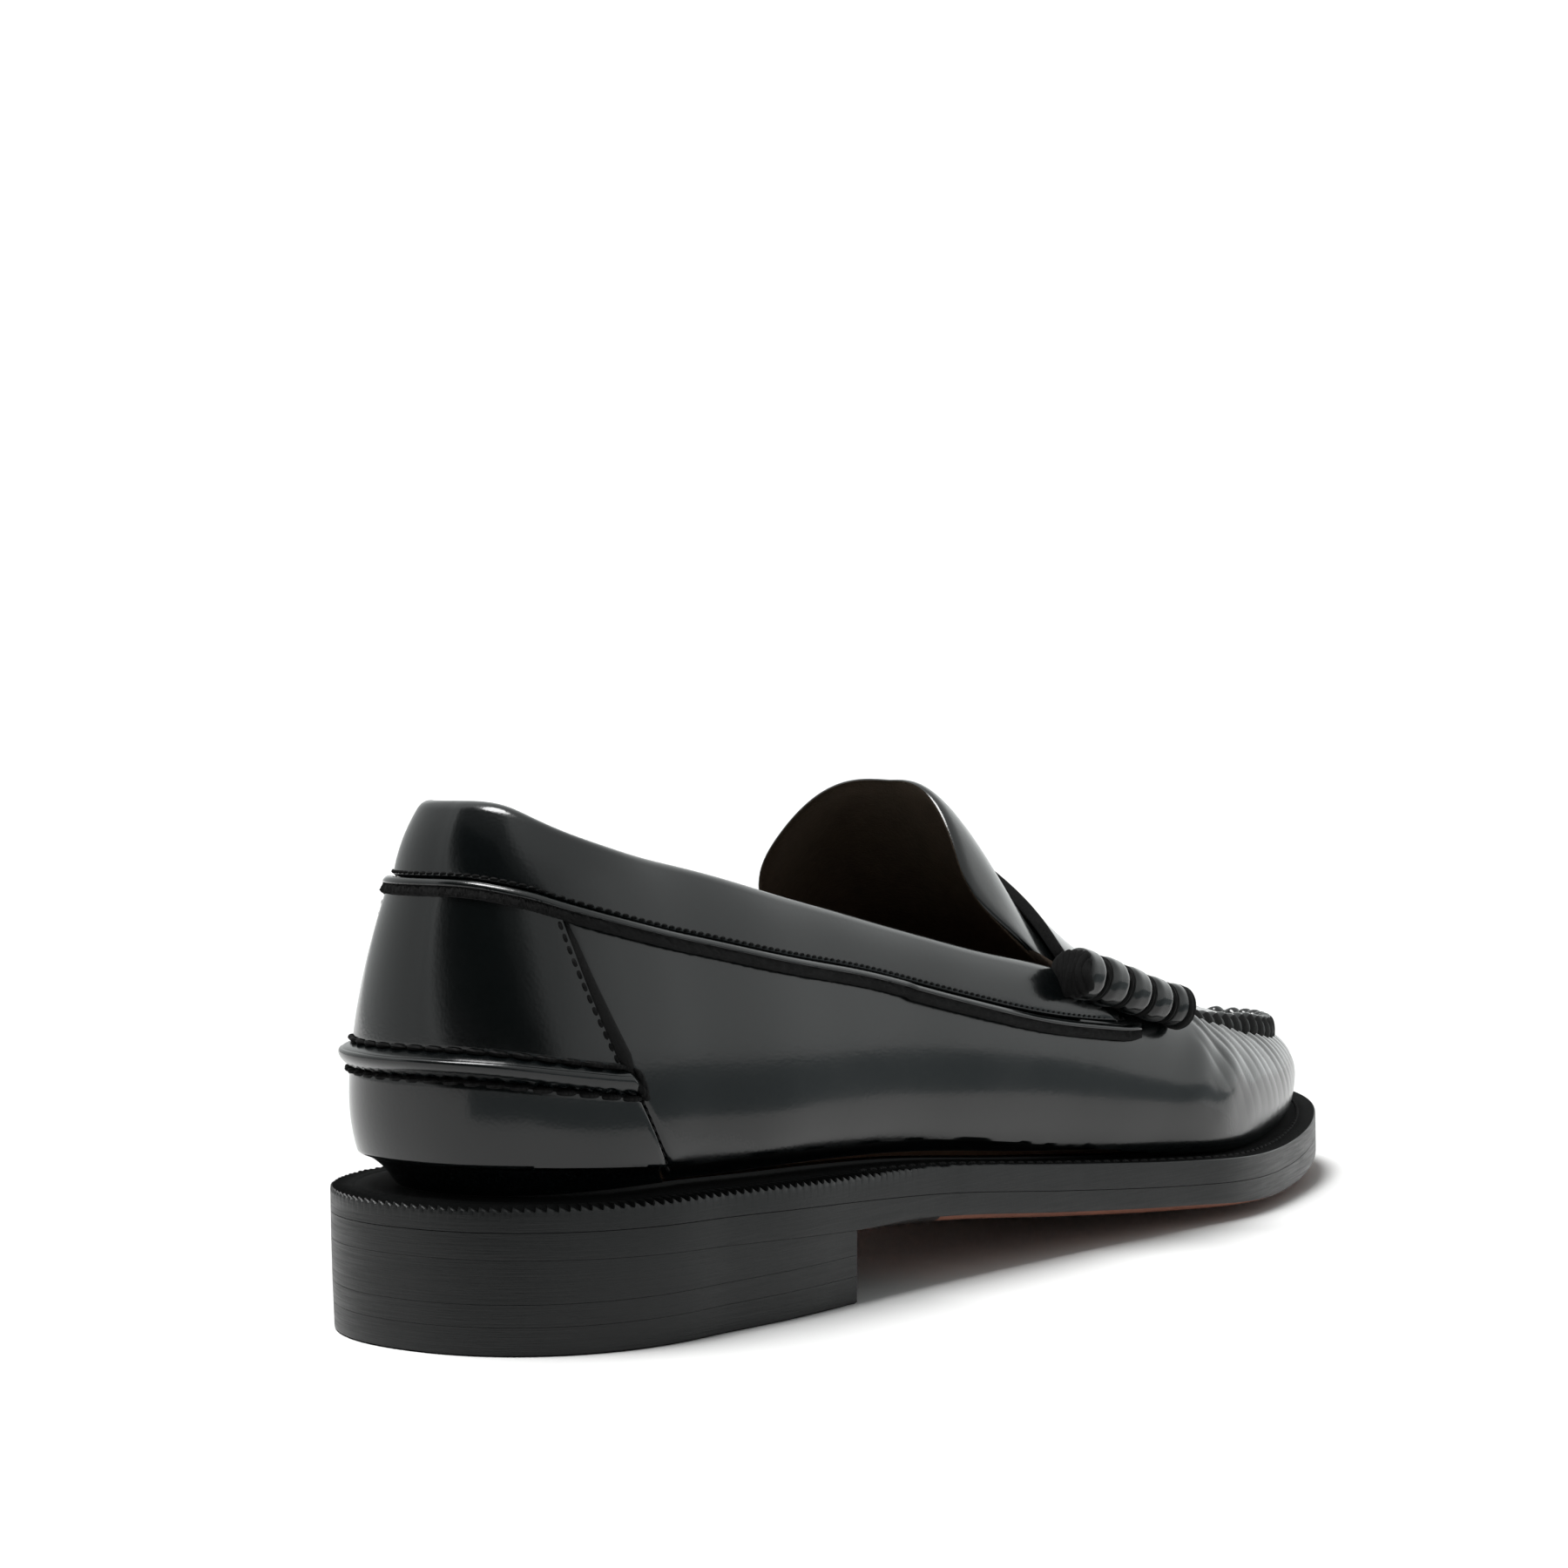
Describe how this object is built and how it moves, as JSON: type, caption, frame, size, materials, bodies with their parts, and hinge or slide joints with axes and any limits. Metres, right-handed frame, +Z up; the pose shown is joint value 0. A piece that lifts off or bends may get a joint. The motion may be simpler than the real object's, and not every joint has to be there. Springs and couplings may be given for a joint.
{
  "type": "penny loafer",
  "caption": "Right-foot slip-on moccasin shoe with a slotted saddle strap, rolled strap ends, hand-sewn apron, padded collar and a stacked heel.",
  "frame": {"origin": "centre of the shoe's bounding box in plan, on the ground under the heel and the ball", "axes": "+X to the toe, +Y to the inner side of a right foot, +Z up"},
  "size_m": [0.302, 0.1078, 0.0949],
  "materials": {
    "black_calf": "polished box calf, tight fine grain, soft studio gloss",
    "collar_leather": "polished calf, folded and padded",
    "lining_leather": "matt brown lining leather with a suede nap",
    "sole_leather": "oiled sole leather, reddish brown with dyed black edges",
    "welt_leather": "black dyed edge, satin, wheeled over the heel",
    "lift_leather": "burnished black stacked leather",
    "heel_rubber": "matt hard rubber",
    "cork": "pressed cork granules",
    "leather_board": "matt fibre board",
    "waxed_thread": "thick waxed linen thread, matt black",
    "shank_steel": "spring steel strip",
    "nail_steel": "bright steel nails"
  },
  "bodies": {
    "root": {"outsole": "sole_leather", "welt": "welt_leather", "cork_filler": "cork", "shank": "shank_steel", "insole": "leather_board", "heel_sock": "lining_leather", "top_piece": "heel_rubber", "heel_lift_lower": "lift_leather", "heel_lift_upper": "lift_leather", "heel_nail_1": "nail_steel", "heel_nail_2": "nail_steel", "heel_nail_3": "nail_steel", "heel_nail_4": "nail_steel", "heel_nail_5": "nail_steel", "vamp": "black_calf", "heel_foxing": "black_calf", "heel_counter": "black_calf", "heel_roll_lower": "black_calf", "heel_roll_upper": "black_calf", "collar_band": "collar_leather", "collar_piping": "collar_leather", "counter_stiffener": "leather_board", "quarter_lining": "lining_leather", "toe_puff": "leather_board", "vamp_lining": "lining_leather", "plug_and_tongue": "black_calf", "saddle_strap": "black_calf", "beefroll_outer": "black_calf", "beefroll_wrap_outer_1": "waxed_thread", "beefroll_wrap_outer_2": "waxed_thread", "beefroll_wrap_outer_3": "waxed_thread", "beefroll_wrap_outer_4": "waxed_thread", "beefroll_inner": "black_calf", "beefroll_wrap_inner_1": "waxed_thread", "beefroll_wrap_inner_2": "waxed_thread", "beefroll_wrap_inner_3": "waxed_thread", "beefroll_wrap_inner_4": "waxed_thread", "plug_seam_thread": "waxed_thread"}
  },
  "joints": []
}
